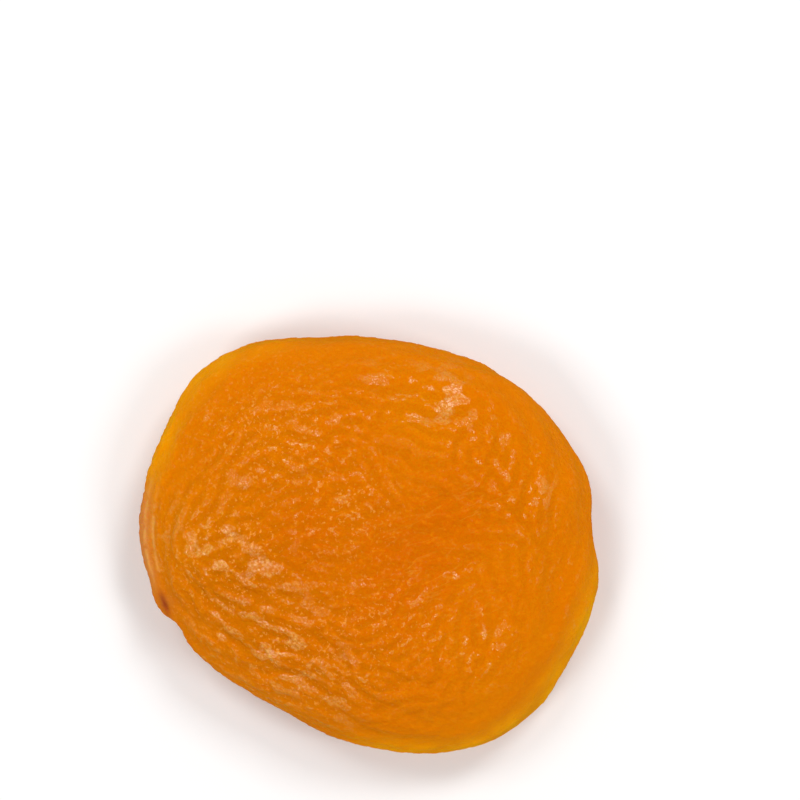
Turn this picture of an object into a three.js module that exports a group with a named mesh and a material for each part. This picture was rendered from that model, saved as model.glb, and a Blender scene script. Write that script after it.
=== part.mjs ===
// A dried apricot: a whole fruit whose stone was pressed out, then flattened by hand and dried
// until its skin puckered. It is one piece, so it is one closed solid.
// Millimetres, +Z up. The origin is at the middle of the flat spot that it lies on.
// Seen from above with +X to the right, the stem end is at the left.

import * as THREE from "three";
import { mergeVertices } from "three/addons/utils/BufferGeometryUtils.js";

// Driving sizes
const LONG_DIAMETER = 40;
const THICKNESS = 12;
const RIM_HEIGHT = 5.2; // height of the widest line above the surface that it lies on
const RIM_DROP = 1.5; // how much lower that line runs on the thin side
const THIN_SIDE = -28; // degrees, the side where the rim is thinnest
const REST_SINK = 0.22; // how far the underside has settled to make its flat spot

// The net of near-equal triangles that carries the skin
const NET_DETAIL = 23;
const MERGE_DISTANCE = 1e-4;

// Plan outline, anticlockwise from +X: each radius as a share of half the long diameter
const OUTLINE_STEP = 15; // degrees
const OUTLINE = [
  0.932, 0.958, 0.924, 0.915, 0.882, 0.861, 0.869, 0.898, 0.977, 1.016, 0.985, 0.97,
  0.953, 0.907, 0.856, 0.804, 0.776, 0.803, 0.841, 0.897, 0.964, 0.979, 0.967, 0.969,
];

// Cross-section: a superellipse on each face, fuller where the exponent is larger
const UPPER_FULLNESS = 2.25;
const UNDER_FULLNESS = 2.1;
const SECTION_STEPS = 600;

// Broad forms of each face. A dent goes down into the flesh, and a negative depth stands proud.
// Each has its middle (x, y), its half length and half width, the turn of its length, and depth.
const UPPER_DENTS = [
  { x: 2.6, y: -0.8, long: 8, wide: 5.4, turn: -6, depth: 0.8 }, // where the stone was
  { x: 2.2, y: -1.5, long: 6.5, wide: 0.9, turn: 4, depth: 0.16 }, // crease across the hollow
  { x: 8.6, y: -1.9, long: 2.2, wide: 0.9, turn: -48, depth: 0.15 }, // end of that crease
  { x: 6.3, y: 11.7, long: 1.5, wide: 1.1, turn: 10, depth: 0.35 }, // dimple near the far edge
  { x: 3.6, y: 12.2, long: 1.6, wide: 0.8, turn: -20, depth: 0.22 },
  { x: -8.5, y: -2.5, long: 5.5, wide: 4.5, turn: -20, depth: -0.45 }, // plump stem side
  { x: -3.5, y: 9.5, long: 8, wide: 3.2, turn: 4, depth: -0.3 },
  { x: 11, y: 5.5, long: 5, wide: 3.2, turn: -58, depth: -0.35 },
  { x: 9.5, y: -10, long: 6, wide: 3.4, turn: 35, depth: -0.3 },
  { x: -4.8, y: 3.2, long: 5, wide: 1, turn: -8, depth: 0.2 },
  { x: 15.3, y: -2.8, long: 4.2, wide: 0.7, turn: 78, depth: 0.4 }, // fold inside the thin lobe
];
const UNDER_DENTS = [
  { x: -9.5, y: 7.5, long: 6, wide: 1.5, turn: 28, depth: 0.45 },
  { x: 10.5, y: 6.5, long: 6.5, wide: 1.4, turn: -32, depth: 0.5 },
  { x: -7, y: -8.5, long: 7, wide: 1.6, turn: -24, depth: 0.45 },
  { x: 9, y: -8.5, long: 6, wide: 1.5, turn: 30, depth: 0.4 },
  { x: -14, y: -1, long: 4, wide: 1.2, turn: 8, depth: 0.4 },
];

// Features of the rim, each by its turn round the outline in degrees, with half its reach, its
// place between the widest line (0) and the middle of a face (1 above, -1 below), and its depth
const RIM_DENTS = [
  { turn: 180.5, reach: 14, level: 0.34, spread: 0.26, depth: 0.6 }, // closed slit of the stone
  { turn: 181, reach: 15.5, level: -0.14, spread: 0.34, depth: -0.4 }, // its lower lip
  { turn: 195.5, reach: 4, level: 0.08, spread: 0.34, depth: -0.4 }, // swelling at the scar
  { turn: 196.8, reach: 3.2, level: 0.46, spread: 0.2, depth: 0.5 }, // stem scar
  { turn: 203.4, reach: 3, level: 0, spread: 0.7, depth: 0.42 }, // nick past the scar
  { turn: 9, reach: 4.5, level: 0, spread: 0.7, depth: 0.15 }, // waist above the thin lobe
  { turn: -6, reach: 6.5, level: -0.1, spread: 0.45, depth: -0.35 }, // thin lobe
  { turn: -40, reach: 26, level: 0.4, spread: 0.24, depth: 0.25 }, // fold along the thin rim
  { turn: 50, reach: 17, level: -0.34, spread: 0.15, depth: 0.5 }, // folds below the widest line
  { turn: 86, reach: 20, level: -0.5, spread: 0.14, depth: 0.55 },
  { turn: 118, reach: 18, level: -0.3, spread: 0.14, depth: 0.5 },
  { turn: 150, reach: 13, level: -0.52, spread: 0.15, depth: 0.45 },
  { turn: 222, reach: 16, level: -0.36, spread: 0.15, depth: 0.5 },
  { turn: 254, reach: 18, level: -0.52, spread: 0.14, depth: 0.5 },
  { turn: 286, reach: 17, level: -0.34, spread: 0.15, depth: 0.45 },
  { turn: 326, reach: 18, level: -0.5, spread: 0.15, depth: 0.4 },
];

// The grain that the puckers run along: lines from the stem end to the blossom end, turned
// where the flesh has shrunk round the hollow. Each place has its own turn and pucker depth.
const STEM_END = new THREE.Vector2(-18.6, -2.5);
const BLOSSOM_END = new THREE.Vector2(19.4, 0.5);
const GRAIN_REACH = 3;
const BASE_GRAIN = { weight: 0.3, depth: 0.75 };
const UPPER_GRAIN = [
  { x: -6, y: 16, turn: 4, depth: 0.3 },
  { x: 3, y: 16, turn: -3, depth: 0.3 },
  { x: -5.5, y: 9, turn: -8, depth: 1 },
  { x: 4.5, y: 12, turn: 2, depth: 1.1 },
  { x: 2, y: 7, turn: -42, depth: 0.8 },
  { x: 9.5, y: 8.5, turn: 76, depth: 0.8 },
  { x: 15, y: 5, turn: 72, depth: 1 },
  { x: 17, y: -2, turn: 80, depth: 0.6 },
  { x: -16.8, y: 3, turn: 52, depth: 1 },
  { x: -17, y: -2.5, turn: -72, depth: 0.9 },
  { x: -10.5, y: -1.2, turn: 4, depth: 1.3 },
  { x: 0, y: -1.2, turn: 4, depth: 0.45 },
  { x: 6.5, y: -1, turn: 14, depth: 0.4 },
  { x: 11.5, y: -2.5, turn: -68, depth: 0.35 },
  { x: -13.5, y: -6.5, turn: -42, depth: 1.1 },
  { x: -6, y: -8, turn: -22, depth: 1.2 },
  { x: -1.7, y: -10.7, turn: -56, depth: 0.85 },
  { x: 3.2, y: -5.9, turn: 56, depth: 0.4 },
  { x: 8, y: -8.4, turn: 96, depth: 0.35 },
  { x: 13, y: -6, turn: 76, depth: 0.3 },
  { x: 11, y: -13, turn: 30, depth: 0.2 },
  { x: -1, y: -14.5, turn: -24, depth: 0.8 },
];

// Puckers: rounded ridges that follow the grain, by spacing and by height above and below
const PUCKERS = [
  { spacing: 5.5, height: 0.1, stretch: 0.3, seed: 11 },
  { spacing: 2.3, height: 0.15, stretch: 0.4, seed: 29 },
];
const PUCKER_ROUNDS = 7; // how often the skin is eased and gathered again
const NARROW = 0.19; // ease across a ridge, as a share of the spacing
const BROAD = 0.34; // ease that is taken away, which sets the ridges apart
const GATHER = 1.3; // how firmly a ridge closes up
const SETTLE = 0.26; // the last ease, which rounds the ridges' own faces

// Below the widest line the puckers are deeper: the upward part of the skin's direction there,
// how far that reaches, and the depth
const SIDE_PUCKERS = { facing: -0.25, spread: 0.3, depth: 1.3 };

const degrees = THREE.MathUtils.degToRad;
const halfLength = LONG_DIAMETER / 2;

// A smooth closed curve through the outline's radii
function outlineRadius(turn) {
  const count = OUTLINE.length;
  const place = THREE.MathUtils.euclideanModulo(
    THREE.MathUtils.radToDeg(turn) / OUTLINE_STEP,
    count,
  );
  const first = Math.floor(place);
  const t = place - first;
  const [a, b, c, d] = [-1, 0, 1, 2].map((k) => OUTLINE[(first + k + count) % count]);
  const share =
    b + 0.5 * t * (c - a + t * (2 * a - 5 * b + 4 * c - d + t * (3 * (b - c) + d - a)));
  return share * halfLength;
}

// One point of a half section, from the top's middle at 0 to the underside's middle at PI
function sectionPoint(bend) {
  const fullness = bend < Math.PI / 2 ? UPPER_FULLNESS : UNDER_FULLNESS;
  const reach = Math.abs(Math.sin(bend)) ** (2 / fullness);
  const rise = Math.sign(Math.cos(bend)) * Math.abs(Math.cos(bend)) ** (2 / fullness);
  return { reach, rise };
}

// The bends along a half section at equal steps of its length, so that the net stays even
function evenBends() {
  const bends = [0];
  const lengths = [0];
  let last = sectionPoint(0);
  for (let i = 1; i <= SECTION_STEPS; i += 1) {
    const bend = (i / SECTION_STEPS) * Math.PI;
    const point = sectionPoint(bend);
    const tall = point.rise > 0 ? THICKNESS - RIM_HEIGHT : RIM_HEIGHT;
    const run = (point.reach - last.reach) * halfLength * 0.92;
    const climb = (point.rise - last.rise) * tall;
    bends.push(bend);
    lengths.push(lengths[i - 1] + Math.hypot(run, climb));
    last = point;
  }
  const whole = lengths[SECTION_STEPS];
  return (share) => {
    const wanted = share * whole;
    let i = lengths.findIndex((length) => length >= wanted);
    i = Math.max(1, i);
    const t = (wanted - lengths[i - 1]) / (lengths[i] - lengths[i - 1]);
    return THREE.MathUtils.lerp(bends[i - 1], bends[i], t);
  };
}

// How much of a dent reaches the place (x, y) of a face
function dentAt(dent, x, y) {
  const turn = degrees(dent.turn);
  const along = (x - dent.x) * Math.cos(turn) + (y - dent.y) * Math.sin(turn);
  const across = (y - dent.y) * Math.cos(turn) - (x - dent.x) * Math.sin(turn);
  return dent.depth * Math.exp(-((along / dent.long) ** 2) - (across / dent.wide) ** 2);
}

// How much of a rim dent reaches a place at that turn and level
function rimDentAt(dent, turn, level) {
  const away = THREE.MathUtils.euclideanModulo(turn - dent.turn + 180, 360) - 180;
  const round = (away / dent.reach) ** 2;
  const up = (level - dent.level) / dent.spread;
  return dent.depth * Math.exp(-(round ** 2) - up ** 2);
}

// The fruit's form before its skin puckered, for one direction of the net
function formPoint(direction, bendAt) {
  const turn = Math.atan2(direction.y, direction.x);
  const { reach, rise } = sectionPoint(bendAt(Math.acos(direction.z) / Math.PI));
  const thinness = Math.max(0, Math.cos(turn - degrees(THIN_SIDE))) ** 2;
  const rim = RIM_HEIGHT - RIM_DROP * thinness;
  const turnDegrees = THREE.MathUtils.radToDeg(turn);
  const nearRim = THREE.MathUtils.smoothstep(reach, 0.5, 0.9);
  const pulledIn = RIM_DENTS.reduce((sum, d) => sum + rimDentAt(d, turnDegrees, rise), 0);
  const radius = outlineRadius(turn) * reach - pulledIn * nearRim;
  const x = radius * Math.cos(turn);
  const y = radius * Math.sin(turn);
  const upper = rise > 0;
  const dents = upper ? UPPER_DENTS : UNDER_DENTS;
  const dented = dents.reduce((sum, d) => sum + dentAt(d, x, y), 0);
  const faceShare = THREE.MathUtils.smoothstep(Math.abs(rise), 0, 0.55);
  const z = upper
    ? rim + (THICKNESS - rim) * rise - dented * faceShare
    : rim * (1 + rise) + dented * faceShare - REST_SINK * faceShare;
  return new THREE.Vector3(x, y, z);
}

// The grain's turn and the puckers' depth at a place: the lines from end to end, blended with
// the places listed for the upper face
function grainAt(x, y, upperShare) {
  const fromStem = Math.atan2(y - STEM_END.y, x - STEM_END.x);
  const fromBlossom = Math.atan2(y - BLOSSOM_END.y, x - BLOSSOM_END.x);
  const axis = Math.atan2(STEM_END.y - BLOSSOM_END.y, STEM_END.x - BLOSSOM_END.x);
  const base = fromStem + fromBlossom - axis;
  let c = BASE_GRAIN.weight * Math.cos(2 * base);
  let s = BASE_GRAIN.weight * Math.sin(2 * base);
  let weight = BASE_GRAIN.weight;
  let depth = BASE_GRAIN.weight * BASE_GRAIN.depth;
  for (const place of UPPER_GRAIN) {
    const away = Math.hypot(x - place.x, y - place.y) / GRAIN_REACH;
    const share = Math.exp(-(away ** 2)) * upperShare;
    c += share * Math.cos(2 * degrees(place.turn));
    s += share * Math.sin(2 * degrees(place.turn));
    weight += share;
    depth += share * place.depth;
  }
  return { turn: Math.atan2(s, c) / 2, depth: depth / weight };
}

// The triangle net: for each edge of each triangle, how strongly its two ends pull on each
// other in every direction (even) and along the grain alone
function weaveNet(points, triangles, grain) {
  const area = new Float64Array(points.length);
  const ties = [];
  for (let i = 0; i < triangles.length; i += 3) {
    const corner = [triangles[i], triangles[i + 1], triangles[i + 2]];
    const [p, q, r] = corner.map((k) => points[k]);
    const sides = [r.clone().sub(q), p.clone().sub(r), q.clone().sub(p)];
    const normal = sides[2].clone().cross(sides[1]).negate();
    const twiceArea = normal.length();
    normal.divideScalar(twiceArea);
    const slopes = sides.map((side) => normal.clone().cross(side).divideScalar(twiceArea));
    const thread = grain[corner[0]].clone();
    for (const k of corner.slice(1)) {
      thread.addScaledVector(grain[k], Math.sign(grain[corner[0]].dot(grain[k])));
    }
    thread.normalize();
    for (let k = 0; k < 3; k += 1) {
      area[corner[k]] += twiceArea / 6;
      const [a, b] = [(k + 1) % 3, (k + 2) % 3];
      const even = (-slopes[a].dot(slopes[b]) * twiceArea) / 2;
      const along = (-slopes[a].dot(thread) * slopes[b].dot(thread) * twiceArea) / 2;
      ties.push({ from: corner[a], to: corner[b], even, along });
    }
  }
  return { area, ties };
}

// Eases values over the net, by one distance along the grain and another across it
function ease(values, net, along, across) {
  const pulls = net.ties.map((tie) => ({
    from: tie.from,
    to: tie.to,
    pull: across ** 2 * tie.even + (along ** 2 - across ** 2) * tie.along,
  }));
  const load = new Float64Array(values.length);
  for (const { from, to, pull } of pulls) {
    load[from] += Math.abs(pull);
    load[to] += Math.abs(pull);
  }
  const fastest = net.area.reduce((most, a, i) => Math.max(most, load[i] / a), 0);
  const steps = Math.ceil(fastest / 1.6);
  const pace = 0.5 / steps;
  let eased = Float64Array.from(values);
  for (let step = 0; step < steps; step += 1) {
    const change = new Float64Array(values.length);
    for (const { from, to, pull } of pulls) {
      const flow = pull * (eased[to] - eased[from]);
      change[from] += flow;
      change[to] -= flow;
    }
    eased = eased.map((value, i) => value + (pace * change[i]) / net.area[i]);
  }
  return eased;
}

// A seeded draw between 0 and 1
function seededDraw(seed) {
  let state = seed >>> 0;
  return () => {
    state = (state + 0x6d2b79f5) >>> 0;
    let t = Math.imul(state ^ (state >>> 15), 1 | state);
    t = (t + Math.imul(t ^ (t >>> 7), 61 | t)) ^ t;
    return ((t ^ (t >>> 14)) >>> 0) / 4294967296;
  };
}

// Ridges and furrows of one spacing. The skin starts rough, and is eased and gathered in turn,
// which leaves branching ridges that run with the grain.
function pucker(net, { spacing, stretch, seed }) {
  const draw = seededDraw(seed);
  let skin = Float64Array.from(net.area, () => draw() * 2 - 1);
  for (let round = 0; round < PUCKER_ROUNDS; round += 1) {
    const fine = ease(skin, net, spacing * NARROW * (1 + 2 * stretch), spacing * NARROW);
    const broad = ease(fine, net, spacing * BROAD, spacing * BROAD);
    const standing = fine.map((value, i) => value - broad[i]);
    const rough = Math.sqrt(
      standing.reduce((sum, v) => sum + v * v, 0) / standing.length,
    );
    skin = standing.map((value) => Math.tanh((GATHER * value) / rough));
  }
  return ease(skin, net, SETTLE, SETTLE);
}

// The skin: the smooth form, raised along its normals into puckers, and flat where it rests
function apricotGeometry() {
  const ball = new THREE.IcosahedronGeometry(1, NET_DETAIL);
  ball.deleteAttribute("normal");
  ball.deleteAttribute("uv");
  const geometry = mergeVertices(ball, MERGE_DISTANCE);
  const place = geometry.getAttribute("position");
  const bendAt = evenBends();
  const points = [];
  for (let i = 0; i < place.count; i += 1) {
    const direction = new THREE.Vector3().fromBufferAttribute(place, i).normalize();
    const point = formPoint(direction, bendAt);
    points.push(point);
    place.setXYZ(i, point.x, point.y, point.z);
  }
  geometry.computeVertexNormals();
  const facing = geometry.getAttribute("normal");
  const normals = points.map((_, i) => new THREE.Vector3().fromBufferAttribute(facing, i));
  const grains = points.map((p, i) => {
    const facing = normals[i].z;
    const { turn, depth } = grainAt(p.x, p.y, THREE.MathUtils.smoothstep(facing, -0.35, 0.25));
    const away = (facing - SIDE_PUCKERS.facing) / SIDE_PUCKERS.spread;
    const sideDepth = SIDE_PUCKERS.depth * Math.exp(-(away ** 2));
    return { turn, depth: Math.max(depth, sideDepth) };
  });
  const threads = grains.map(({ turn }, i) =>
    new THREE.Vector3(Math.cos(turn), Math.sin(turn), 0)
      .projectOnPlane(normals[i])
      .normalize(),
  );
  const net = weaveNet(points, geometry.index.array, threads);
  const layers = PUCKERS.map((layer) => ({ height: layer.height, skin: pucker(net, layer) }));
  points.forEach((point, i) => {
    const rise = layers.reduce((sum, layer) => sum + layer.height * layer.skin[i], 0);
    point.addScaledVector(normals[i], rise * grains[i].depth);
    place.setXYZ(i, point.x, point.y, Math.max(0, point.z));
  });
  geometry.deleteAttribute("normal");
  geometry.computeBoundingBox();
  const middle = geometry.boundingBox.getCenter(new THREE.Vector3());
  geometry.translate(-middle.x, -middle.y, 0);
  geometry.computeVertexNormals();
  return geometry;
}

const flesh = new THREE.MeshStandardMaterial({
  color: new THREE.Color(0.87, 0.46, 0.02),
  roughness: 0.45,
  metalness: 0,
});

const apricot = new THREE.Mesh(apricotGeometry(), flesh);
apricot.name = "apricot";

const part = new THREE.Group();
part.add(apricot);

export default part;
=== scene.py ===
# A dried apricot lying on a pale floor, seen from straight above.
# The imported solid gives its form. Here it gets its fine puckers, its flesh and its light.
import math

import bmesh
import bpy
import numpy as np
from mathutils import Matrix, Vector


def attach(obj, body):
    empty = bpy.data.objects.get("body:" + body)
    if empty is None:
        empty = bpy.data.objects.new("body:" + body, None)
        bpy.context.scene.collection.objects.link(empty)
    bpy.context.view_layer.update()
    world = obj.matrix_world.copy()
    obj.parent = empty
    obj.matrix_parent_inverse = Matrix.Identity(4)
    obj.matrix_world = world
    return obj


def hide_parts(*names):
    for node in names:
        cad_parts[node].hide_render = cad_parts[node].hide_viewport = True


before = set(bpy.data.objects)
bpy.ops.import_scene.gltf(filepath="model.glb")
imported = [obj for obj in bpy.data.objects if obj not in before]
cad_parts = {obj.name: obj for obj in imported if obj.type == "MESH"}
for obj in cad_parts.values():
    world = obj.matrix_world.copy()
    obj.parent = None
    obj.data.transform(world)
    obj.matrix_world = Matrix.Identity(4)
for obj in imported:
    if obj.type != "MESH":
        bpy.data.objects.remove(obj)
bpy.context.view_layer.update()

MM = 0.001  # Blender works in metres, and the sizes below are in millimetres

# The view: straight down, with this point of the fruit's frame in the middle of the picture
VIEW_MIDDLE = (2.57, 12.12, 6.0)
VIEW_WIDTH = 66.7
CAMERA_DISTANCE = 320.0
SENSOR_WIDTH = 36.0
NEAREST_SEEN = 10.0

# Skin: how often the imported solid's net is split, and how near points lie that are joined first
SPLITS = 2
WELD_DISTANCE = 0.001

# The grain that the puckers run along: lines from the stem end to the blossom end. On the upper
# side it is turned where the flesh has shrunk. The upper side fades in between two facings, and
# a facing is the upward part of the skin's direction.
STEM_END = (-18.6, -2.5)
BLOSSOM_END = (19.4, 0.5)
GRAIN_REACH = 3.0
BASE_GRAIN_WEIGHT = 0.3
BASE_GRAIN_DEPTH = 0.7
UPPER_FACING = (-0.35, 0.25)
# Places in the plan: x, y, the grain's turn in degrees, and how deep the skin is puckered
UPPER_GRAIN = (
    (-6.0, 16.0, 4, 0.3),
    (3.0, 16.0, -3, 0.3),
    (-5.5, 9.0, -8, 0.8),
    (4.5, 12.0, 2, 0.6),
    (2.0, 7.0, -42, 0.45),
    (9.5, 8.5, 76, 0.5),
    (15.0, 5.0, 72, 0.8),
    (17.0, -2.0, 80, 0.5),
    (-16.8, 3.0, 52, 0.9),
    (-17.0, -2.5, -72, 0.7),
    (-10.5, -1.2, 4, 1.3),
    (0.0, -1.2, 4, 0.5),
    (6.5, -1.0, 14, 0.35),
    (11.5, -2.5, -68, 0.3),
    (-13.5, -6.5, -42, 1.1),
    (-6.0, -8.0, -22, 1.3),
    (-1.7, -10.7, -56, 1.1),
    (3.2, -5.9, 56, 0.7),
    (8.0, -8.4, 96, 0.6),
    (13.0, -6.0, 76, 0.25),
    (11.0, -13.0, 30, 0.15),
    (-1.0, -14.5, -24, 0.8),
)

# Fine relief in two sizes: its spacing, how far it is drawn out, and the seed of the draw
PUCKERS = (1.2, 0.25, 7)
CRINKLES = (0.62, 0.1, 23)
GATHER_ROUNDS = 3
GATHER = 1.3
# How far the skin is eased, as shares of the spacing: what stays is between these two
NARROW = 0.19
BROAD = 0.34
# The largest pull on a point in one step of easing, so that the values don't swing
STEADY_PULL = 1.6


def welded_net(node):
    """The points, in millimetres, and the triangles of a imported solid, with shared corners."""
    mesh = bmesh.new()
    mesh.from_mesh(node.data)
    bmesh.ops.remove_doubles(mesh, verts=mesh.verts, dist=WELD_DISTANCE * MM)
    points = np.array([v.co for v in mesh.verts]) / MM
    triangles = np.array([[v.index for v in face.verts] for face in mesh.faces])
    mesh.free()
    return points, triangles


def split_net(points, triangles):
    """One round of smooth splitting: each triangle becomes four. A new point on an edge is drawn
    from the edge's ends and from the two corners across it, and an old point is eased towards
    the points around it."""
    count = len(points)
    corners = triangles[:, [1, 2, 2, 0, 0, 1]].reshape(-1, 2)
    facing = triangles.reshape(-1)
    edges, edge_of = np.unique(np.sort(corners, 1), axis=0, return_inverse=True)
    edge_of = edge_of.reshape(-1)
    across = np.zeros((len(edges), 3))
    np.add.at(across, edge_of, points[facing])
    middles = 3 / 8 * points[edges].sum(1) + 1 / 8 * across
    valence = np.bincount(edges.reshape(-1), minlength=count)
    around = np.zeros((count, 3))
    np.add.at(around, edges[:, 0], points[edges[:, 1]])
    np.add.at(around, edges[:, 1], points[edges[:, 0]])
    share = (5 / 8 - (3 / 8 + np.cos(2 * np.pi / valence) / 4) ** 2) / valence
    eased = points * (1 - valence * share)[:, None] + around * share[:, None]
    opposite = edge_of.reshape(-1, 3) + count
    a, b, c = triangles.T
    ab, bc, ca = opposite[:, 2], opposite[:, 0], opposite[:, 1]
    finer = np.concatenate([
        np.stack(corner, 1)
        for corner in ((a, ab, ca), (ab, b, bc), (ca, bc, c), (ab, bc, ca))
    ])
    return np.concatenate([eased, middles]), finer


def point_normals(points, triangles):
    """The skin's direction at each point, outwards."""
    p, q, r = (points[triangles[:, k]] for k in range(3))
    faces = np.cross(q - p, r - p)
    normals = np.zeros_like(points)
    for k in range(3):
        np.add.at(normals, triangles[:, k], faces)
    return normals / np.linalg.norm(normals, axis=1, keepdims=True)


def smooth_step(values, low, high):
    """0 at low and 1 at high, with a smooth step in between."""
    share = np.clip((values - low) / (high - low), 0, 1)
    return share * share * (3 - 2 * share)


def bump_at(points, place, reach):
    """1 at a place of the plan, falling off over its reach."""
    away = np.hypot(points[:, 0] - place[0], points[:, 1] - place[1]) / reach
    return np.exp(-(away**2))


def grain_at(points, normals):
    """The grain's direction in the skin, and how deep the skin is puckered. Directions are
    averaged by twice their turn, because a line has no front and back."""
    x, y = points[:, 0], points[:, 1]
    from_stem = np.arctan2(y - STEM_END[1], x - STEM_END[0])
    from_blossom = np.arctan2(y - BLOSSOM_END[1], x - BLOSSOM_END[0])
    axis = math.atan2(STEM_END[1] - BLOSSOM_END[1], STEM_END[0] - BLOSSOM_END[0])
    base = from_stem + from_blossom - axis
    cosine = BASE_GRAIN_WEIGHT * np.cos(2 * base)
    sine = BASE_GRAIN_WEIGHT * np.sin(2 * base)
    weight = np.full(len(points), BASE_GRAIN_WEIGHT)
    depth = np.full(len(points), BASE_GRAIN_WEIGHT * BASE_GRAIN_DEPTH)
    upper_share = smooth_step(normals[:, 2], *UPPER_FACING)
    for place_x, place_y, turn, place_depth in UPPER_GRAIN:
        share = bump_at(points, (place_x, place_y), GRAIN_REACH) * upper_share
        cosine += share * math.cos(2 * math.radians(turn))
        sine += share * math.sin(2 * math.radians(turn))
        weight += share
        depth += share * place_depth
    turn = np.arctan2(sine, cosine) / 2
    thread = np.stack([np.cos(turn), np.sin(turn), np.zeros(len(turn))], 1)
    thread -= normals * (thread * normals).sum(1, keepdims=True)
    thread /= np.linalg.norm(thread, axis=1, keepdims=True)
    return thread, depth / weight


def tie_net(points, triangles, thread):
    """For each edge, how its two ends pull on each other in every direction, and along the
    grain alone. The pulls of the two triangles at an edge are added up."""
    p, q, r = (points[triangles[:, k]] for k in range(3))
    sides = [r - q, p - r, q - p]
    normal = np.cross(sides[2], -sides[1])
    twice_area = np.linalg.norm(normal, axis=1)
    normal /= twice_area[:, None]
    slopes = [np.cross(normal, side) / twice_area[:, None] for side in sides]
    first = thread[triangles[:, 0]]
    run = first.copy()
    for k in (1, 2):
        other = thread[triangles[:, k]]
        run += other * np.sign((first * other).sum(1))[:, None]
    run /= np.linalg.norm(run, axis=1, keepdims=True)
    area = np.zeros(len(points))
    starts, ends, evens, alongs = [], [], [], []
    for k in range(3):
        np.add.at(area, triangles[:, k], twice_area / 6)
        a, b = (k + 1) % 3, (k + 2) % 3
        starts.append(np.minimum(triangles[:, a], triangles[:, b]))
        ends.append(np.maximum(triangles[:, a], triangles[:, b]))
        evens.append(-(slopes[a] * slopes[b]).sum(1) * twice_area / 2)
        on_a, on_b = (slopes[a] * run).sum(1), (slopes[b] * run).sum(1)
        alongs.append(-on_a * on_b * twice_area / 2)
    pairs = np.stack([np.concatenate(starts), np.concatenate(ends)], 1)
    edges, edge_of = np.unique(pairs, axis=0, return_inverse=True)
    edge_of = edge_of.reshape(-1)
    even = np.bincount(edge_of, np.concatenate(evens))
    along = np.bincount(edge_of, np.concatenate(alongs))
    return {"area": area, "from": edges[:, 0], "to": edges[:, 1], "even": even, "along": along}


def ease(values, net, along, across):
    """Eases values over the net, by one distance along the grain and another across it. Values
    spread over a distance in a time of half its square."""
    count = len(values)
    pull = across**2 * net["even"] + (along**2 - across**2) * net["along"]
    load = np.bincount(net["from"], np.abs(pull), count)
    load += np.bincount(net["to"], np.abs(pull), count)
    steps = math.ceil((load / net["area"]).max() / STEADY_PULL)
    pace = 0.5 / steps / net["area"]
    eased = values.copy()
    for _ in range(steps):
        flow = pull * (eased[net["to"]] - eased[net["from"]])
        change = np.bincount(net["from"], flow, count) - np.bincount(net["to"], flow, count)
        eased += pace * change
    return eased


def gathered(net, spacing, stretch, seed):
    """Ridges and furrows of one spacing, between -1 and 1. The skin starts rough, and is eased
    and gathered in turn, which leaves branching ridges that run with the grain."""
    skin = np.random.default_rng(seed).uniform(-1, 1, len(net["area"]))
    for _ in range(GATHER_ROUNDS):
        fine = ease(skin, net, spacing * NARROW * (1 + 2 * stretch), spacing * NARROW)
        standing = fine - ease(fine, net, spacing * BROAD, spacing * BROAD)
        skin = np.tanh(GATHER * standing / standing.std())
    return skin


# The thin rim, by share of the way out: where the flesh starts to thin, and where light starts
# to come through it
THIN_START = 0.66
GLOW_START = 0.87
# How much light comes through all along, and where more does: turn, reach in degrees, how much
RIM_GLOW = 0.04
YELLOW_RIM = (
    (-16, 11, 0.8),
    (-38, 18, 0.8),
    (-62, 18, 0.8),
    (-84, 12, 0.6),
    (138, 22, 0.85),
    (160, 12, 0.4),
)
OUTLINE_SLOTS = 120
# The rim's skin is calmer by this much, away from the stem end: x + y between these two
RIM_CALM = 0.7
CALM_FADE = (-12.0, 4.0)

# The sides below the widest line: their facing and its spread, how deep they are puckered, and
# how much their ridges shine
SIDE_FACING = -0.25
SIDE_SPREAD = 0.3
SIDE_DEPTH = 1.3
SIDE_SHEEN = 0.7

# The smooth lip below the closed slit: its turn and reach in degrees, between which shares of
# the way out it fades in, and the lines along it that catch the light
LIP_TURN = 178
LIP_REACH = 13
LIP_FADE = (0.93, 0.98)
LIP_LINES = (0.935, 0.972)
LIP_LINE_WIDTH = 0.007

# The stem scar: a dark core, longer than wide, on skin between two facings, and a glow round it
SCAR_PLACE = (-17.0, -4.8)
SCAR_TURN = -69
SCAR_LENGTH = 1.0
SCAR_WIDTH = 0.28
SCAR_GLOW = 1.1
SCAR_FACING = (0.0, 0.4)

# Where the flesh differs. Places in the plan: x, y, reach and how much
DEEP_FLESH = (
    (2.5, -1.5, 6.5, 0.9),
    (6.5, 2.5, 4.5, 0.7),
    (8.0, -5.0, 4.5, 0.5),
    (-1.5, 4.0, 3.5, 0.35),
    (-5.0, 0.5, 4.5, 0.85),
)
# Painted shade: here the flesh is laid darker ochre, most of it towards the lower left
OCHRE_SHADE = (
    (-12.0, -4.0, 8.0, 1.0),
    (-4.0, -12.0, 5.0, 0.7),
    (-3.0, -2.0, 3.2, 0.5),
)
YELLOW_FLESH = (
    (11.0, -7.5, 5.5, 0.14),
    (13.5, 5.5, 2.5, 0.08),
    (9.0, -13.5, 5.0, 0.12),
    (-15.0, 4.0, 4.0, 0.12),
    (-14.0, 0.0, 3.0, 0.14),
    (4.5, 9.5, 4.0, 0.08),
)
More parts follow.
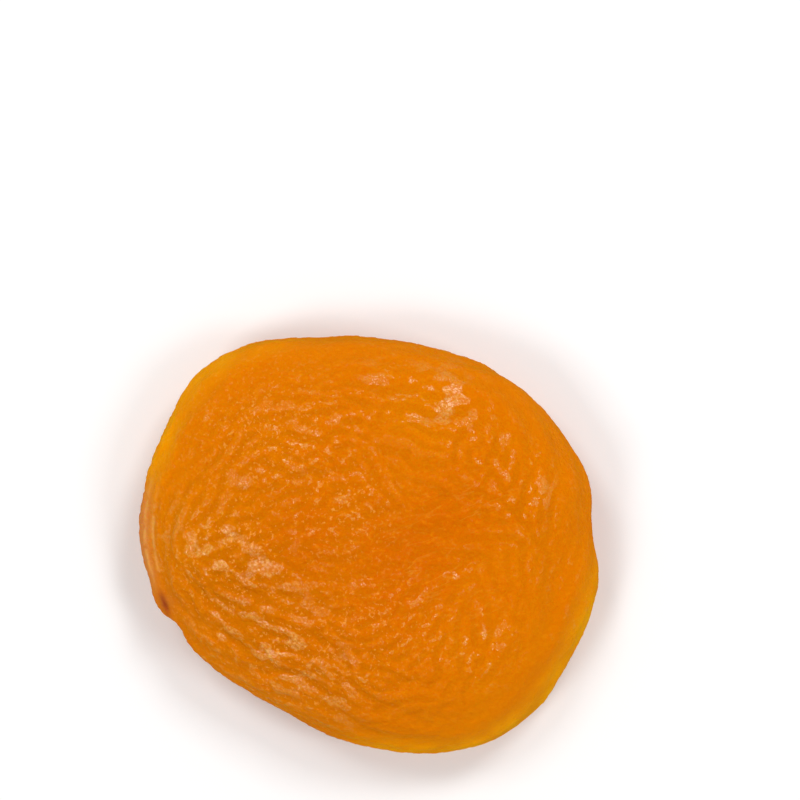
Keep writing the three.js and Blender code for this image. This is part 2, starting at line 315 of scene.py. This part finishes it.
# Where the skin's plateaus shine, under a satin coat and a pale colour that is partly bloom and
# partly painted sheen, and where only its ridges do
SHEEN = (
    (-12.5, -0.8, 3.6, 1.25),
    (-8.7, -2.5, 3.4, 0.9),
    (-7.0, -8.7, 4.2, 1.15),
    (-11.0, -6.8, 3.2, 1.1),
    (-2.4, -12.0, 3.0, 0.8),
    (-17.0, 2.0, 2.4, 0.7),
    (-4.9, 9.0, 3.4, 0.6),
    (-9.1, 5.9, 3.0, 0.5),
    (1.5, 13.0, 3.0, 0.5),
    (6.0, 12.2, 2.8, 1.2),
    (13.9, 4.5, 1.5, 0.9),
    (11.8, 5.4, 1.2, 0.7),
    (10.6, 8.6, 1.2, 0.7),
    (-2.4, 3.8, 2.4, 0.5),
    (10.1, -7.3, 1.0, 0.9),
    (-12.5, -10.0, 2.0, 0.7),
    (-15.8, -2.2, 2.0, 0.7),
    (-8.0, -12.6, 1.8, 0.6),
)
RIDGE_SHEEN = (
    (-14.0, 2.0, 3.5, 0.8),
    (-5.0, 8.5, 5.0, 1.0),
    (-3.0, 3.5, 3.5, 1.0),
    (3.0, 13.0, 3.5, 0.7),
    (13.0, 4.6, 3.4, 0.9),
    (9.5, 8.5, 3.0, 0.7),
    (15.5, -1.5, 2.5, 0.4),
    (-0.3, -1.6, 1.8, 0.8),
    (7.2, -1.8, 1.6, 0.8),
    (3.2, -6.0, 3.2, 1.0),
    (8.5, -8.0, 3.0, 1.0),
    (-1.7, -10.8, 2.6, 0.8),
    (-7.0, -6.0, 5.0, 0.8),
    (-13.5, -9.5, 3.0, 0.9),
    (-8.5, -13.0, 2.6, 0.9),
    (-4.0, -15.0, 2.6, 0.8),
    (-16.5, -1.0, 2.6, 0.8),
    (-13.5, 9.5, 2.4, 0.6),
    (17.0, -7.0, 2.2, 0.6),
)
# Where fine granules stand in the skin, their pale dots partly a painted sparkle, and where pale
# fibres show through it
GRANULES_AND_SPARKLE = (
    (-11.0, -1.0, 7.0, 1.0),
    (-6.0, -9.0, 6.0, 1.0),
    (-9.0, 9.0, 6.5, 0.8),
    (0.0, -7.0, 5.0, 0.95),
    (-2.0, 3.0, 4.5, 0.95),
)
FIBRES = (
    (4.0, -1.5, 4.5, 1.0),
    (8.5, 3.0, 5.0, 0.8),
    (9.0, -5.0, 5.0, 0.6),
    (-1.0, 14.0, 4.0, 0.5),
)


def rim_share(points):
    """How far out each point lies, 0 in the middle of the plan and 1 at its outline, and its
    turn in degrees. The outline is the furthest point in each slot of turn, eased."""
    turns = np.degrees(np.arctan2(points[:, 1], points[:, 0])) % 360
    reach = np.hypot(points[:, 0], points[:, 1])
    slot = 360 / OUTLINE_SLOTS
    outline = np.zeros(OUTLINE_SLOTS)
    np.maximum.at(outline, (turns / slot).astype(int) % OUTLINE_SLOTS, reach)
    outline = (np.roll(outline, 1) + outline + np.roll(outline, -1)) / 3
    around = np.arange(-1, OUTLINE_SLOTS + 1)
    widest = np.interp(turns, (around + 0.5) * slot, outline[around % OUTLINE_SLOTS])
    return np.clip(reach / widest, 0, 1), turns


def yellow_at(points):
    """How much light comes through the thin flesh of the rim."""
    share, turns = rim_share(points)
    strength = np.full(len(points), RIM_GLOW)
    for turn, reach, amount in YELLOW_RIM:
        away = (turns - turn + 180) % 360 - 180
        strength += amount * np.exp(-((away / reach) ** 2))
    return smooth_step(share, GLOW_START, 1.0) * np.clip(strength, 0, 1)


def thin_at(points):
    """How near the thin flesh of the rim is."""
    share, _ = rim_share(points)
    return smooth_step(share, THIN_START, 1.0)


def side_share(normals):
    """1 on the fruit's sides below its widest line, and 0 above and underneath."""
    return np.exp(-(((normals[:, 2] - SIDE_FACING) / SIDE_SPREAD) ** 2))


def lip_at(points):
    """The smooth lip below the closed slit, along the rim at the stem end, and the pale lines
    that its edge catches the light with."""
    share, turns = rim_share(points)
    near = np.exp(-(((turns - LIP_TURN) / LIP_REACH) ** 4))
    lines = np.zeros(len(points))
    for place in LIP_LINES:
        lines = np.maximum(lines, np.exp(-(((share - place) / LIP_LINE_WIDTH) ** 2)))
    return smooth_step(share, *LIP_FADE) * near, lines * near


def scar_at(points, normals):
    """The dark core of the stem scar, on the upper side alone, and the glow round it."""
    turn = math.radians(SCAR_TURN)
    x, y = points[:, 0] - SCAR_PLACE[0], points[:, 1] - SCAR_PLACE[1]
    along = x * math.cos(turn) + y * math.sin(turn)
    across = y * math.cos(turn) - x * math.sin(turn)
    core = np.exp(-((along / SCAR_LENGTH) ** 2) - (across / SCAR_WIDTH) ** 2)
    upper = smooth_step(normals[:, 2], *SCAR_FACING)
    return core * upper, bump_at(points, SCAR_PLACE, SCAR_GLOW)


def strongest_at(points, places):
    """The strongest of several places that fade into each other."""
    strength = np.zeros(len(points))
    for x, y, reach, amount in places:
        strength = np.maximum(strength, amount * bump_at(points, (x, y), reach))
    return strength


def skin_fields(points, triangles):
    """What the relief and the flesh need to know at each point of the skin."""
    normals = point_normals(points, triangles)
    thread, depth = grain_at(points, normals)
    net = tie_net(points, triangles, thread)
    scar, scar_glow = scar_at(points, normals)
    lip, lip_lines = lip_at(points)
    rim = thin_at(points)
    calm = 1 - RIM_CALM * rim * smooth_step(points[:, 0] + points[:, 1], *CALM_FADE)
    side = side_share(normals)
    return {
        "pucker": gathered(net, *PUCKERS),
        "crinkle": gathered(net, *CRINKLES),
        "depth": np.maximum(depth * calm, SIDE_DEPTH * side),
        "yellow": np.maximum(yellow_at(points), strongest_at(points, YELLOW_FLESH)),
        "deep": strongest_at(points, DEEP_FLESH),
        "ochre": strongest_at(points, OCHRE_SHADE),
        "sheen": strongest_at(points, SHEEN),
        "ridge_sheen": np.maximum(strongest_at(points, RIDGE_SHEEN), SIDE_SHEEN * side),
        "granules_and_sparkle": strongest_at(points, GRANULES_AND_SPARKLE),
        "fibres": strongest_at(points, FIBRES),
        "rim": rim,
        "lip": lip,
        "lip_lines": lip_lines,
        "scar": scar,
        "scar_glow": scar_glow,
    }


def mesh_with_fields(name, points, triangles, fields):
    """A smooth mesh that carries a number at each point for each field."""
    mesh = bpy.data.meshes.new(name)
    mesh.from_pydata((points * MM).tolist(), [], triangles.tolist())
    mesh.polygons.foreach_set("use_smooth", np.ones(len(triangles), bool))
    for field, values in fields.items():
        attribute = mesh.attributes.new(field, "FLOAT", "POINT")
        attribute.data.foreach_set("value", values.astype(np.float32))
    mesh.update()
    return mesh


# Relief raised by the node tree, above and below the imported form
PUCKER_HEIGHT = 0.045
CRINKLE_HEIGHT = 0.03
GRAIN_SIZE = 0.5
GRAIN_DETAIL = 1.0
GRAIN_HEIGHT = 0.035
RELIEF_SEED = 5

NOISE_MIDDLE = 0.5  # a noise node's values lie round this one


def relief_tree():
    """Raises the skin by its pucker, crinkle and grain, and keeps the flat spot flat."""
    tree = bpy.data.node_groups.new("raised_skin", "GeometryNodeTree")
    sockets = tree.interface
    sockets.new_socket("Geometry", in_out="INPUT", socket_type="NodeSocketGeometry")
    for name in ("Pucker Height", "Crinkle Height", "Grain Height", "Grain Size"):
        sockets.new_socket(name, in_out="INPUT", socket_type="NodeSocketFloat")
    sockets.new_socket("Seed", in_out="INPUT", socket_type="NodeSocketInt")
    sockets.new_socket("Material", in_out="INPUT", socket_type="NodeSocketMaterial")
    sockets.new_socket("Geometry", in_out="OUTPUT", socket_type="NodeSocketGeometry")
    nodes, links = tree.nodes, tree.links
    given = nodes.new("NodeGroupInput")
    result = nodes.new("NodeGroupOutput")

    def field(name):
        node = nodes.new("GeometryNodeInputNamedAttribute")
        node.data_type = "FLOAT"
        node.inputs["Name"].default_value = name
        return node.outputs["Attribute"]

    def math_node(operation, first, second):
        node = nodes.new("ShaderNodeMath")
        node.operation = operation
        for socket, value in zip(node.inputs, (first, second)):
            if isinstance(value, (int, float)):
                socket.default_value = value
            else:
                links.new(value, socket)
        return node.outputs[0]

    noise = nodes.new("ShaderNodeTexNoise")
    noise.noise_dimensions = "4D"
    noise.inputs["Detail"].default_value = GRAIN_DETAIL
    links.new(math_node("DIVIDE", 1.0, given.outputs["Grain Size"]), noise.inputs["Scale"])
    links.new(given.outputs["Seed"], noise.inputs["W"])
    grain = math_node("SUBTRACT", noise.outputs["Fac"], NOISE_MIDDLE)
    pucker = math_node("MULTIPLY", field("pucker"), given.outputs["Pucker Height"])
    crinkle = math_node("MULTIPLY", field("crinkle"), given.outputs["Crinkle Height"])
    grain = math_node("MULTIPLY", grain, given.outputs["Grain Height"])
    raised = math_node("ADD", math_node("ADD", pucker, crinkle), grain)
    height = math_node("MULTIPLY", raised, field("depth"))

    normal = nodes.new("GeometryNodeInputNormal")
    offset = nodes.new("ShaderNodeVectorMath")
    offset.operation = "SCALE"
    links.new(normal.outputs["Normal"], offset.inputs[0])
    links.new(height, offset.inputs["Scale"])
    lift = nodes.new("GeometryNodeSetPosition")
    links.new(given.outputs["Geometry"], lift.inputs["Geometry"])
    links.new(offset.outputs["Vector"], lift.inputs["Offset"])

    place = nodes.new("GeometryNodeInputPosition")
    parts = nodes.new("ShaderNodeSeparateXYZ")
    joined = nodes.new("ShaderNodeCombineXYZ")
    links.new(place.outputs["Position"], parts.inputs["Vector"])
    links.new(parts.outputs["X"], joined.inputs["X"])
    links.new(parts.outputs["Y"], joined.inputs["Y"])
    links.new(math_node("MAXIMUM", parts.outputs["Z"], 0.0), joined.inputs["Z"])
    rest = nodes.new("GeometryNodeSetPosition")
    links.new(lift.outputs["Geometry"], rest.inputs["Geometry"])
    links.new(joined.outputs["Vector"], rest.inputs["Position"])

    solid = nodes.new("GeometryNodeRealizeInstances")
    links.new(rest.outputs["Geometry"], solid.inputs["Geometry"])
    skin = nodes.new("GeometryNodeSetMaterial")
    links.new(solid.outputs["Geometry"], skin.inputs["Geometry"])
    links.new(given.outputs["Material"], skin.inputs["Material"])
    links.new(skin.outputs["Geometry"], result.inputs["Geometry"])
    return tree


def with_relief(mesh, material):
    """The mesh with its skin raised, as a plain mesh."""
    holder = bpy.data.objects.new("smooth_fruit", mesh)
    bpy.context.scene.collection.objects.link(holder)
    modifier = holder.modifiers.new("relief", "NODES")
    modifier.node_group = relief_tree()
    values = {
        "Pucker Height": PUCKER_HEIGHT * MM,
        "Crinkle Height": CRINKLE_HEIGHT * MM,
        "Grain Height": GRAIN_HEIGHT * MM,
        "Grain Size": GRAIN_SIZE * MM,
        "Seed": RELIEF_SEED,
        "Material": material,
    }
    for item in modifier.node_group.interface.items_tree:
        if item.in_out == "INPUT" and item.name in values:
            modifier[item.identifier] = values[item.name]
    seen = holder.evaluated_get(bpy.context.evaluated_depsgraph_get())
    raised = bpy.data.meshes.new_from_object(seen)
    bpy.data.objects.remove(holder)
    return raised


# A mix node of colours: its sockets for the colour below, the one above, and the result
MIX_UNDER = 6
MIX_OVER = 7
MIX_RESULT = 2


class Shader:
    """Short names for the nodes that a material is made of."""

    def __init__(self, name):
        self.material = bpy.data.materials.new(name)
        self.material.use_nodes = True
        self.nodes = self.material.node_tree.nodes
        self.links = self.material.node_tree.links
        self.surface = self.nodes["Principled BSDF"]

    def put(self, value, socket):
        """Sets a socket to a plain value, or links another node's output to it."""
        if isinstance(value, bpy.types.NodeSocket):
            self.links.new(value, socket)
        else:
            socket.default_value = value

    def set(self, **values):
        """Sets the surface's sockets, named with _ for each space."""
        for name, value in values.items():
            self.put(value, self.surface.inputs[name.replace("_", " ")])

    def field(self, name):
        """A number that the mesh carries at each point."""
        node = self.nodes.new("ShaderNodeAttribute")
        node.attribute_name = name
        return node.outputs["Fac"]

    def calc(self, operation, first, second=0.0):
        node = self.nodes.new("ShaderNodeMath")
        node.operation = operation
        self.put(first, node.inputs[0])
        self.put(second, node.inputs[1])
        return node.outputs[0]

    def times(self, first, *others):
        """The product of several values."""
        for other in others:
            first = self.calc("MULTIPLY", first, other)
        return first

    def line(self, value, slope, start):
        """A value times a slope, plus a start."""
        return self.calc("ADD", self.calc("MULTIPLY", value, slope), start)

    def between(self, value, low, high):
        """0 at low and 1 at high, with a smooth step in between."""
        node = self.nodes.new("ShaderNodeMapRange")
        node.interpolation_type = "SMOOTHSTEP"
        self.put(value, node.inputs["Value"])
        node.inputs["From Min"].default_value = low
        node.inputs["From Max"].default_value = high
        return node.outputs["Result"]

    def blend(self, share, under, over):
        """One colour over another, by a share."""
        node = self.nodes.new("ShaderNodeMix")
        node.data_type = "RGBA"
        self.put(share, node.inputs["Factor"])
        self.put(under, node.inputs[MIX_UNDER])
        self.put(over, node.inputs[MIX_OVER])
        return node.outputs[MIX_RESULT]

    def noise(self, size, detail, seed, turn=0.0, stretch=1.0):
        """Noise of one size, drawn out by a factor along a direction of the plan."""
        place = self.nodes.new("ShaderNodeTexCoord")
        turned = self.nodes.new("ShaderNodeMapping")
        turned.vector_type = "TEXTURE"
        turned.inputs["Rotation"].default_value = (0, 0, math.radians(turn))
        turned.inputs["Scale"].default_value = (stretch, 1, 1)
        self.links.new(place.outputs["Object"], turned.inputs["Vector"])
        node = self.nodes.new("ShaderNodeTexNoise")
        node.noise_dimensions = "4D"
        node.inputs["Scale"].default_value = 1 / (size * MM)
        node.inputs["Detail"].default_value = detail
        node.inputs["W"].default_value = seed
        self.links.new(turned.outputs["Vector"], node.inputs["Vector"])
        return node.outputs["Fac"]

    def patches(self, size, detail, seed, low, high):
        """Patches of noise, which fade in between two of its values."""
        return self.between(self.noise(size, detail, seed), low, high)

    def bump(self, height, distance):
        """A small relief in the light alone, of so many millimetres."""
        node = self.nodes.new("ShaderNodeBump")
        node.inputs["Distance"].default_value = distance * MM
        self.put(height, node.inputs["Height"])
        return node.outputs["Normal"]


# The flesh's ground colour and the layers over it, as linear light, in the order that they are
# laid on, each with how strongly it covers what is below it
ORANGE = (0.72, 0.184, 0.0004, 1)
# A pale colour where the skin shines: partly a bloom on the skin, partly a painted sheen
BLOOM_AND_SHEEN = (1.0, 0.62, 0.17, 1)
FLESH_LAYERS = {
    "golden patches": ((0.73, 0.222, 0.0004, 1), 0.4),
    "deep flesh": ((0.69, 0.147, 0.0004, 1), 1.0),
    # painted shade, darker ochre
    "ochre shade": ((0.61, 0.162, 0.0004, 1), 0.7),
    # painted light: the thin rim laid lighter, and yellow where light comes through it
    "thin rim glow": ((0.76, 0.2, 0.0004, 1), 0.8),
    "yellow rim glow": ((0.96, 0.38, 0.0004, 1), 1.0),
    "pale grain": ((0.82, 0.25, 0.003, 1), 0.4),
    "dark grain": ((0.62, 0.14, 0.0004, 1), 0.12),
    # painted shade, darker down in the furrows of the puckers
    "furrows": ((0.58, 0.15, 0.0004, 1), 1.0),
    "fibres": ((0.82, 0.34, 0.03, 1), 0.35),
    # pale dots: partly granules of the skin, partly painted sparkle
    "granules_and_sparkle": ((0.97, 0.44, 0.09, 1), 0.62),
    # painted sheen over the shining places, partly a bloom on the skin
    "bloom and painted sheen": (BLOOM_AND_SHEEN, 0.18),
    # the smooth lip, rose: partly its own tone, partly a painted sheen
    "lip": ((0.68, 0.23, 0.05, 1), 0.8),
    # painted highlights along the lip's edge
    "lip lines": (BLOOM_AND_SHEEN, 0.35),
    "scar glow": ((0.5, 0.15, 0.02, 1), 0.4),
    "scar": ((0.36, 0.06, 0.014, 1), 1.0),
}

# Patches in the flesh: size in millimetres, detail, seed, and the values they fade in between
GOLDEN_PATCHES = (6.0, 3.0, 1.3, 0.35, 0.7)
LIT_PATCHES = (2.2, 2.0, 17.3, 0.35, 0.65)
FIBRE_PATCHES = (1.7, 2.0, 5.5, 0.42, 0.62)
GRANULE_PATCHES = (0.26, 3.0, 6.6, 0.54, 0.72)
CREST_PATCHES = (1.3, 2.0, 7.7, 0.42, 0.53)
GRIT_PATCHES = (0.17, 1.0, 9.1, 0.36, 0.66)
LIP_PATCHES = (1.6, 2.0, 21.4, 0.4, 0.55)
# Plain noises: size, detail and seed, and how far they are drawn out: turn in degrees, factor
SPECK_NOISE = (0.3, 3.0, 14.2, -12, 1.4)
FIBRE_NOISE = (0.75, 2.0, 2.2, 20, 5.0)
SWELL_NOISE = (1.5, 2.0, 3.4, -12, 1.5)
SCAR_NOISE = (0.4, 2.0, 4.4)
SKIN_NOISE = (0.22, 1.0, 8.7)

# What the layers are made of: pairs are the two values that a mask fades in between, or a
# slope and a start
LIT_RANGE = (0.4, 0.6)
PALE_SPECKS = (0.52, 0.68)
DARK_SPECKS = (0.5, 0.36)
# Painted shade in the furrows: where it fades in, how much depth adds, and its most
FURROW_SHADE_FADE = (0.1, -0.9)
FURROW_SHADE_BY_DEPTH = 0.5
FURROW_SHADE_MOST = 0.6
FIBRE_WIDTH = 0.035
SCAR_RAGGED = (1.2, 0.5)
# The skin swells out where its noise, its puckers and the sheen's places add up
SWELL_BY_NOISE = 6.0
SWELL_BY_PUCKER = 0.45
SWELL_BY_SHEEN = 0.7
PLATEAU_FADE = (0.7, 1.1)
CREST_BY_PUCKER = 0.6
CREST_BY_CRINKLE = 0.5
CREST_FADE = (0.45, 0.8)
GRIT_RANGE = (1.5, 0.3)

# The finish: the flesh itself hardly shines, and a satin coat lies where the sheen is
ROUGHNESS = 0.42
FLESH_GLOSS = 0.02
GOLDEN_GLOSS = (1.0, 0.5, 0.02, 1)
COAT_ROUGHNESS = 0.17
COAT_IOR = 1.5
SKIN_BUMP = 0.08
# How deep light goes into the flesh, the reach of its red, green and blue, and its share
LIGHT_DEPTH = 0.9
LIGHT_REACH = (1.0, 0.4, 0.05)
LIGHT_SHARE = 0.55


def satin_sheen(shader):
    """Where the skin shines: on swollen plateaus, and on the crests of its puckers."""
    calc, times, field = shader.calc, shader.times, shader.field
    swell = times(calc("SUBTRACT", shader.noise(*SWELL_NOISE), NOISE_MIDDLE), SWELL_BY_NOISE)
    swell = calc("ADD", swell, times(field("pucker"), SWELL_BY_PUCKER))
    swell = calc("ADD", swell, times(field("sheen"), SWELL_BY_SHEEN))
    plateau = times(shader.between(swell, *PLATEAU_FADE), field("sheen"))
    crest = times(field("pucker"), CREST_BY_PUCKER)
    crest = calc("ADD", crest, times(field("crinkle"), CREST_BY_CRINKLE))
    crest = times(
        shader.between(crest, *CREST_FADE),
        shader.patches(*CREST_PATCHES),
        field("ridge_sheen"),
    )
    grit = shader.line(shader.patches(*GRIT_PATCHES), *GRIT_RANGE)
    return times(calc("MAXIMUM", plateau, crest), grit)


def layer_masks(shader, sheen):
    """Where each layer of the flesh's colour lies."""
    calc, times, field = shader.calc, shader.times, shader.field
    speck = shader.noise(*SPECK_NOISE)
    # Painted shade down in the furrows, more where the skin is puckered deeper, none at the rim
    furrow_shade = times(
        shader.between(field("pucker"), *FURROW_SHADE_FADE),
        times(field("depth"), FURROW_SHADE_BY_DEPTH),
        calc("SUBTRACT", 1.0, field("rim")),
    )
    off_line = calc("ABSOLUTE", calc("SUBTRACT", shader.noise(*FIBRE_NOISE), NOISE_MIDDLE))
    fibre = times(
        shader.between(off_line, FIBRE_WIDTH, 0.0),
        field("fibres"),
        shader.patches(*FIBRE_PATCHES),
    )
    ragged = calc("MINIMUM", shader.line(shader.noise(*SCAR_NOISE), *SCAR_RAGGED), 1.0)
    lit = shader.line(shader.patches(*LIT_PATCHES), *LIT_RANGE)
    return {
        "golden patches": shader.patches(*GOLDEN_PATCHES),
        "deep flesh": field("deep"),
        "ochre shade": field("ochre"),
        # painted light through the thin rim
        "thin rim glow": field("rim"),
        "yellow rim glow": times(field("yellow"), lit),
        "pale grain": shader.between(speck, *PALE_SPECKS),
        "dark grain": shader.between(speck, *DARK_SPECKS),
        "furrows": calc("MINIMUM", furrow_shade, FURROW_SHADE_MOST),
        "fibres": fibre,
        "granules_and_sparkle": times(shader.patches(*GRANULE_PATCHES), field("granules_and_sparkle")),
        # painted sheen, partly bloom, where the skin shines
        "bloom and painted sheen": sheen,
        "lip": field("lip"),
        "lip lines": times(field("lip_lines"), shader.patches(*LIP_PATCHES)),
        "scar glow": field("scar_glow"),
        "scar": times(field("scar"), ragged),
    }


def flesh_material():
    """Dried flesh: layered colour, a satin coat and a pale colour, partly bloom and partly
    painted sheen, where the skin shines, and light that goes into it.
    """
    shader = Shader("dried_flesh")
    sheen = satin_sheen(shader)
    masks = layer_masks(shader, sheen)
    colour = ORANGE
    for name, (layer, cover) in FLESH_LAYERS.items():
        colour = shader.blend(shader.times(masks[name], cover), colour, layer)
    skin = shader.bump(shader.noise(*SKIN_NOISE), SKIN_BUMP)
    shader.set(
        Base_Color=colour,
        Roughness=ROUGHNESS,
        Specular_IOR_Level=FLESH_GLOSS,
        Specular_Tint=GOLDEN_GLOSS,
        Coat_Weight=shader.calc("MINIMUM", sheen, 1.0),
        Coat_Roughness=COAT_ROUGHNESS,
        Coat_IOR=COAT_IOR,
        Subsurface_Weight=LIGHT_SHARE,
        Subsurface_Radius=LIGHT_REACH,
        Subsurface_Scale=LIGHT_DEPTH * MM,
        Normal=skin,
        Coat_Normal=skin,
    )
    shader.surface.subsurface_method = "RANDOM_WALK"
    return shader.material


def fruit():
    """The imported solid's net, split finer, puckered and dressed."""
    points, triangles = welded_net(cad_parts["apricot"])
    for _ in range(SPLITS):
        points, triangles = split_net(points, triangles)
    fields = skin_fields(points, triangles)
    smooth = mesh_with_fields("smooth_fruit", points, triangles, fields)
    mesh = with_relief(smooth, flesh_material())
    mesh.name = "puckered_fruit"
    piece = bpy.data.objects.new("puckered_fruit", mesh)
    bpy.context.scene.collection.objects.link(piece)
    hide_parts("apricot")
    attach(piece, "root")


FLOOR_SIZE = 3000.0
FLOOR_DROP = 0.02
FLOOR_WHITE = (0.96, 0.96, 0.96, 1)
FLOOR_ROUGHNESS = 0.8


def floor():
    """A plain pale floor just below the flat spot. The skin doesn't mirror it."""
    half, z = FLOOR_SIZE / 2 * MM, -FLOOR_DROP * MM
    corners = [(-half, -half, z), (half, -half, z), (half, half, z), (-half, half, z)]
    mesh = bpy.data.meshes.new("floor")
    mesh.from_pydata(corners, [], [(0, 1, 2, 3)])
    shader = Shader("pale_floor")
    shader.set(Base_Color=FLOOR_WHITE, Roughness=FLOOR_ROUGHNESS)
    mesh.materials.append(shader.material)
    piece = bpy.data.objects.new("floor", mesh)
    piece.visible_glossy = False
    bpy.context.scene.collection.objects.link(piece)


# Soft boxes: their distance from the fruit and their side, and for each the turn round the fruit
# and the height angle in degrees, and the power in watts
BOX_DISTANCE = 600.0
BOX_SIDE = 170.0
SOFT_BOXES = {
    "left_box": (214, 56, 0.85),
    "far_left_box": (128, 58, 0.7),
    "far_right_box": (58, 54, 1.0),
    "right_box": (-15, 56, 0.65),
}
# The even light of the studio, and its walls as the camera sees them
STUDIO_LIGHT = (0.36, 0.36, 0.36, 1)
STUDIO_SEEN = (1.0, 1.0, 1.0, 1)


def soft_box(name, turn, height, power):
    """A square light that faces the fruit."""
    light = bpy.data.lights.new(name, "AREA")
    light.shape = "SQUARE"
    light.size = BOX_SIDE * MM
    light.energy = power
    box = bpy.data.objects.new(name, light)
    turn, height = math.radians(turn), math.radians(height)
    way = Vector((
        math.cos(turn) * math.cos(height),
        math.sin(turn) * math.cos(height),
        math.sin(height),
    ))
    box.location = way * BOX_DISTANCE * MM
    box.rotation_euler = way.to_track_quat("Z", "Y").to_euler()
    bpy.context.scene.collection.objects.link(box)


def studio():
    """Even light from all sides, which the skin doesn't mirror."""
    world = bpy.data.worlds.new("studio")
    bpy.context.scene.world = world
    world.use_nodes = True
    world.cycles_visibility.glossy = False
    nodes, links = world.node_tree.nodes, world.node_tree.links
    path = nodes.new("ShaderNodeLightPath")
    seen = nodes.new("ShaderNodeMix")
    seen.data_type = "RGBA"
    seen.inputs[MIX_UNDER].default_value = STUDIO_LIGHT
    seen.inputs[MIX_OVER].default_value = STUDIO_SEEN
    links.new(path.outputs["Is Camera Ray"], seen.inputs["Factor"])
    links.new(seen.outputs[MIX_RESULT], nodes["Background"].inputs["Color"])


def camera():
    """A camera that looks straight down."""
    lens = bpy.data.cameras.new("camera")
    lens.sensor_width = SENSOR_WIDTH
    lens.lens = SENSOR_WIDTH * CAMERA_DISTANCE / VIEW_WIDTH
    lens.clip_start = NEAREST_SEEN * MM
    piece = bpy.data.objects.new("camera", lens)
    x, y, z = VIEW_MIDDLE
    piece.location = (x * MM, y * MM, (z + CAMERA_DISTANCE) * MM)
    bpy.context.scene.collection.objects.link(piece)
    bpy.context.scene.camera = piece


camera()
for name, box in SOFT_BOXES.items():
    soft_box(name, *box)
studio()
floor()
fruit()
bpy.context.scene.view_settings.view_transform = "Standard"
